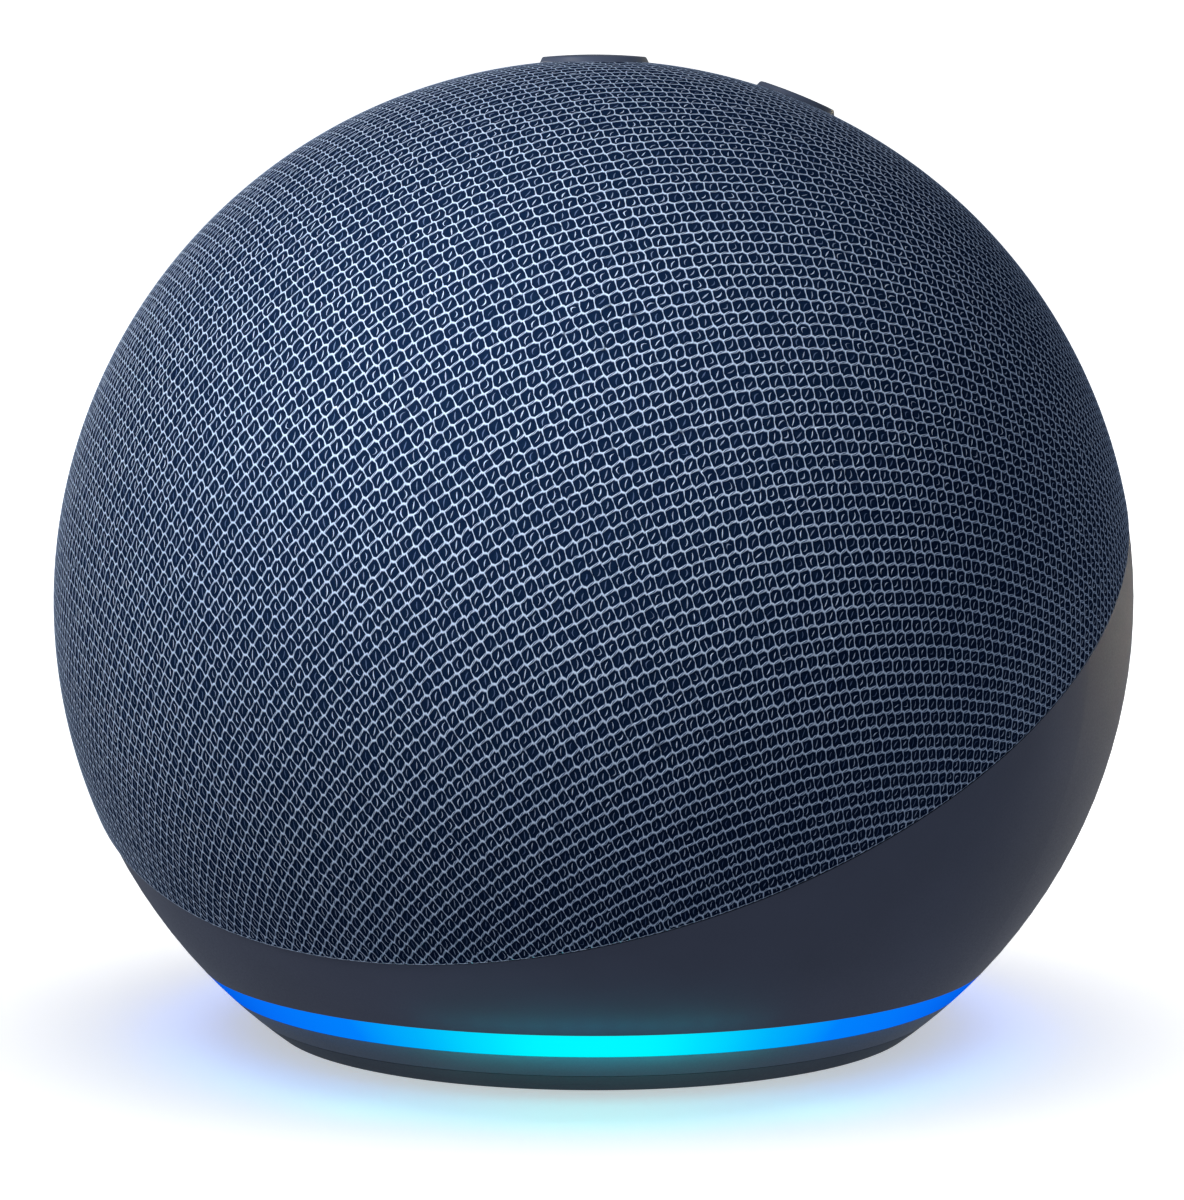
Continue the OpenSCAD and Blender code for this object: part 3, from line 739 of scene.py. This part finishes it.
def new_lamp(name, kind, place, power, colour, lit):
    """A lamp that the camera doesn't see, for one light set alone."""
    light = bpy.data.lights.new(name, kind)
    light.energy = power
    light.color = colour
    obj = bpy.data.objects.new(name, light)
    obj.location = place
    obj.visible_camera = False
    obj.light_linking.receiver_collection = lit
    bpy.context.scene.collection.objects.link(obj)
    return obj


def disk_lamp(name, place, size, power, colour, lit):
    """A round flat lamp that faces the ball."""
    obj = new_lamp(name, "AREA", place, power, colour, lit)
    obj.data.shape = "DISK"
    obj.data.size = size
    obj.rotation_euler = (Vector(CENTRE) - place).to_track_quat("-Z", "Y").to_euler()
    return obj


def point_lamp(name, place, size, power, colour, lit):
    """A small round lamp that leaves no highlight."""
    obj = new_lamp(name, "POINT", place, power, colour, lit)
    obj.data.shadow_soft_size = size
    obj.visible_glossy = False
    return obj


def studio(sets):
    """Soft key from the upper left, a wide light over the floor, a low one behind each side."""
    centre, white, warm = Vector(CENTRE), (1, 1, 1), (1.0, 0.79, 0.42)
    ball, plastics = sets["off_floor"], sets["off_floor_and_knit"]
    key_from, key_distance = Vector((-0.358, -0.700, 0.618)), 1.4
    key_place = centre + key_from * key_distance
    disk_lamp("key", key_place, size=0.5, power=5.5, colour=(1.0, 0.99, 0.97), lit=ball)
    # close to the upper front, so that its light falls off quickly round the ball
    near_place = centre + Vector((0.010, -0.091, 0.061))
    point_lamp("near_lamp", near_place, size=15 * MM, power=0.195, colour=white, lit=ball)
    overhead = new_lamp(
        "overhead", "AREA", (0.0, 0.0, 1.3), power=16, colour=white, lit=sets["floor_alone"]
    )
    overhead.data.shape = "ELLIPSE"
    overhead.data.size, overhead.data.size_y = 1.7, 0.8
    overhead.rotation_euler = (0, 0, VIEW_AZIMUTH)
    # the left one gives the plastics a gleam alone, the right one warm light without a gleam
    low = Vector((0, 0, 0.05))
    left_place = low - RIGHT * 0.8 - FRONT * 0.55
    right_place = low + RIGHT * 0.65 - FRONT * 0.75
    gleam = disk_lamp("left_gleam", left_place, size=0.45, power=3.0, colour=white, lit=plastics)
    gleam.visible_diffuse = False
    rim = disk_lamp("right_rim", right_place, size=0.45, power=30.0, colour=warm, lit=plastics)
    rim.visible_glossy = False


def ring_lights(sets):
    """What the lit ring throws on the floor and on the shells next to it.

    Three rings of small lamps: one over the lit ring, for what is above it, with power in the cyan
    arc alone; one under it for the base; and one for the floor, which is further out in front.
    """
    count, size = 96, 1.0 * MM
    facing = math.atan2(FRONT.y, FRONT.x)
    arc_edge = 0.9  # cosine of the angle where the cyan arc's light ends
    side_green, blue_share = 2.2, 0.95  # the blue light is thrown greener than the ring looks
    over, under = RING_HIGH.x + 2.1 * MM, RING_HIGH.x + 0.2 * MM
    under_height, floor_height = RING_LOW.z - 0.6 * MM, FLOOR_Z + 5.0 * MM
    for k in range(count):
        angle = 2 * math.pi * k / count
        arc = max(0, (math.cos(angle) - arc_edge) / (1 - arc_edge))
        front = (1 + math.cos(angle)) / 2
        halo = RING_HIGH.x + (1.5 + 4.5 * front**2) * MM
        near_green = side_green + (1 - side_green) * arc
        floor_green = side_green + (1 - side_green) * min(1, 3 * arc)
        red, green, blue = ring_colour(angle)
        rows = (
            ("off_floor", over, RING_HIGH.z, 58e-6 * arc, near_green),
            ("off_floor_and_shell", under, under_height, 70e-6 + 190e-6 * arc, near_green),
            ("floor_alone", halo, floor_height, 130e-6 - 20e-6 * arc, floor_green),
        )
        turn = facing + angle
        for lit, radius, height, power, greener in rows:
            if power > 0:
                place = (radius * math.cos(turn), radius * math.sin(turn), height)
                colour = (red, green * greener, blue * blue_share)
                point_lamp(f"glow_{lit}_{k}", place, size, power, colour, sets[lit])


def world():
    """An even dim room, a little brighter below than above."""
    below, above = (0.205, 0.228, 0.268, 1), (0.160, 0.178, 0.210, 1)
    w = bpy.data.worlds.new("studio")
    w.use_nodes = True
    tree = w.node_tree
    back = tree.nodes["Background"]
    coord = tree.nodes.new("ShaderNodeTexCoord")
    split = tree.nodes.new("ShaderNodeSeparateXYZ")
    ramp = tree.nodes.new("ShaderNodeValToRGB")
    tree.links.new(coord.outputs["Generated"], split.inputs[0])
    tree.links.new(split.outputs["Z"], ramp.inputs["Fac"])
    tree.links.new(ramp.outputs["Color"], back.inputs["Color"])
    ramp.color_ramp.elements[0].color = below
    ramp.color_ramp.elements[1].color = above
    bpy.context.scene.world = w


def camera():
    """The photo's own view."""
    data = bpy.data.cameras.new("camera")
    data.lens = LENS
    data.sensor_width = SENSOR
    data.shift_x, data.shift_y = SHIFT
    data.clip_start = 0.01
    data.clip_end = 50
    obj = bpy.data.objects.new("camera", data)
    aim = Vector((
        math.sin(VIEW_AZIMUTH) * math.cos(VIEW_HEIGHT),
        -math.cos(VIEW_AZIMUTH) * math.cos(VIEW_HEIGHT),
        math.sin(VIEW_HEIGHT),
    ))
    obj.location = Vector(CENTRE) + aim * VIEW_DISTANCE
    obj.rotation_euler = (-aim).to_track_quat("-Z", "Y").to_euler()
    bpy.context.scene.collection.objects.link(obj)
    bpy.context.scene.camera = obj


# ---- Build ----

dress_nodes()
sheet = Sheet()
web, ground, floats, hem = knit_web(sheet), knit_ground(sheet), knit_floats(sheet), knit_hem()
knit = (web, ground, floats, hem)
ground_yarn = ground_material()
yarns = (yarn_material(), ground_yarn, float_material(), ground_yarn)
for piece, yarn in zip(knit, yarns, strict=True):
    piece.data.materials.append(yarn)
    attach(piece, "housing")
    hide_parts("fabric_cover")

world()
camera()
floor = stage()
light_sets = {
    name: light_set(name, state, objects)
    for name, state, objects in (
        ("floor_alone", "INCLUDE", (floor,)),
        ("off_floor", "EXCLUDE", (floor,)),
        ("off_floor_and_shell", "EXCLUDE", (floor, NODES["rear_shell"])),
        ("off_floor_and_knit", "EXCLUDE", (floor, *knit)),
    )
}
studio(light_sets)
ring_lights(light_sets)
bpy.context.scene.view_settings.view_transform = "Standard"
